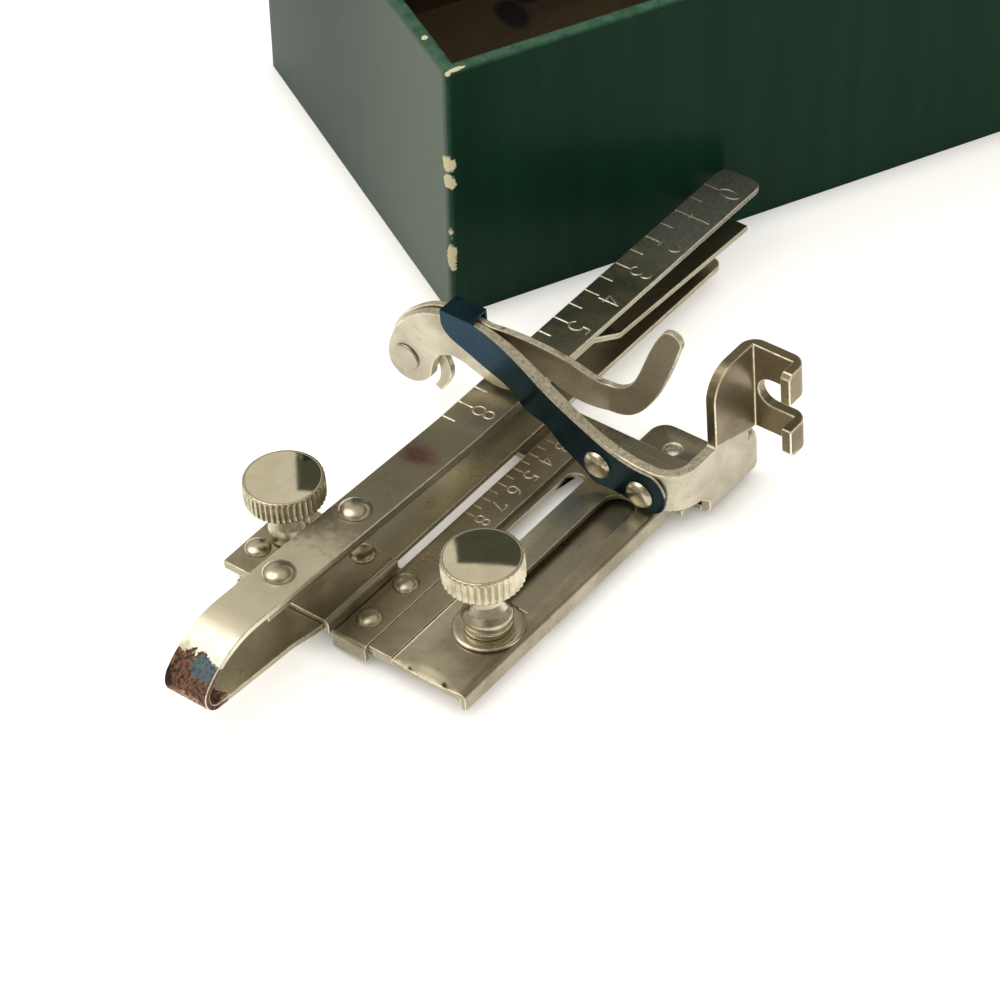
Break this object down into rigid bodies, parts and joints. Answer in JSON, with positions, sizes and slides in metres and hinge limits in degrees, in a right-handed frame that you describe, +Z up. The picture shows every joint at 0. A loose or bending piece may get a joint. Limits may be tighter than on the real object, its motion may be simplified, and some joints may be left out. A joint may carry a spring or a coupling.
{
  "type": "sewing machine attachment box",
  "caption": "Long card box with a cloth-hinged lid standing open, and the adjustable tuck marker that is kept in it lying in front.",
  "frame": {"origin": "middle of the box's underside", "axes": "+X along the box's long front side, +Y from the front to the hinged back, +Z up"},
  "size_m": [0.2153, 0.1489, 0.0964],
  "materials": {
    "green_paper": "glazed dark green cover paper, worn through at corners",
    "grey_board": "grey board",
    "kraft_lining": "brown kraft lining",
    "green_cloth": "book cloth in the cover's green",
    "worn_nickel": "worn warm nickel plate on steel",
    "polished_nickel": "polished nickel plate, lightly worn",
    "blued_spring": "blued spring steel"
  },
  "bodies": {
    "box": {"box_bottom_board": "grey_board", "box_front_board": "grey_board", "box_back_board": "grey_board", "box_end_boards": "grey_board", "box_cover_paper": "green_paper", "box_lining": "kraft_lining", "hinge_cloth_box": "green_cloth"},
    "lid": {"lid_panel_board": "grey_board", "lid_skirt_board": "grey_board", "lid_cover_paper": "green_paper", "lid_lining": "kraft_lining", "hinge_cloth_lid": "green_cloth"},
    "marker_frame": {"frame_base_plate": "worn_nickel", "tuck_scale_strip": "worn_nickel", "scale_strip_rivets": "polished_nickel", "frame_side_plate": "worn_nickel", "slot_floor": "worn_nickel", "leaf_pad": "worn_nickel", "guide_block": "worn_nickel", "saddle_plate": "worn_nickel", "saddle_rivets": "polished_nickel", "foot_bracket": "worn_nickel", "foot_sole": "worn_nickel", "foot_rivets": "polished_nickel", "blue_spring": "blued_spring", "spring_rivets": "polished_nickel", "head_pin": "polished_nickel"},
    "tuck_guide": {"tuck_guide_plate": "worn_nickel", "guide_washer": "polished_nickel"},
    "guide_screw": {"guide_screw": "polished_nickel"},
    "space_gauge": {"space_scale_strip": "worn_nickel", "space_under_bar": "worn_nickel", "space_rivets": "polished_nickel"},
    "gauge_screw": {"gauge_screw": "polished_nickel"},
    "marking_lever": {"marking_lever": "worn_nickel", "creasing_beak": "worn_nickel"}
  },
  "joints": [
    {"name": "lid_hinge", "type": "hinge", "parent": "box", "child": "lid", "pos_m": [0, 0.0293, 0.04015], "axis": [1, 0, 0], "range_deg": [-75, 105]},
    {"name": "marker_lift", "type": "slide", "parent": "box", "child": "marker_frame", "axis": [0, 0, 1], "range_m": [0, 0.08]},
    {"name": "tuck_guide_slide", "type": "slide", "parent": "marker_frame", "child": "tuck_guide", "axis": [0.8993, 0.4373, -0.0033], "range_m": [0, 0.0127]},
    {"name": "guide_screw_turn", "type": "hinge", "parent": "tuck_guide", "child": "guide_screw", "pos_m": [-0.0992, -0.08238, 0.01188], "axis": [-0.0275, 0.0642, 0.9976], "range_deg": [0, 360]},
    {"name": "space_gauge_slide", "type": "slide", "parent": "marker_frame", "child": "space_gauge", "axis": [0.8993, 0.4373, -0.0033], "range_m": [-0.025, 0]},
    {"name": "gauge_screw_turn", "type": "hinge", "parent": "marker_frame", "child": "gauge_screw", "pos_m": [-0.11422, -0.05973, 0.01001], "axis": [-0.0275, 0.0642, 0.9976], "range_deg": [0, 360]},
    {"name": "marking_lever_pivot", "type": "hinge", "parent": "marker_frame", "child": "marking_lever", "pos_m": [-0.0878, -0.03999, 0.00827], "axis": [0.8993, 0.4373, -0.0033], "range_deg": [0, 9], "stiffness_Nm_per_rad": 0.03, "springref_deg": -5.73}
  ]
}
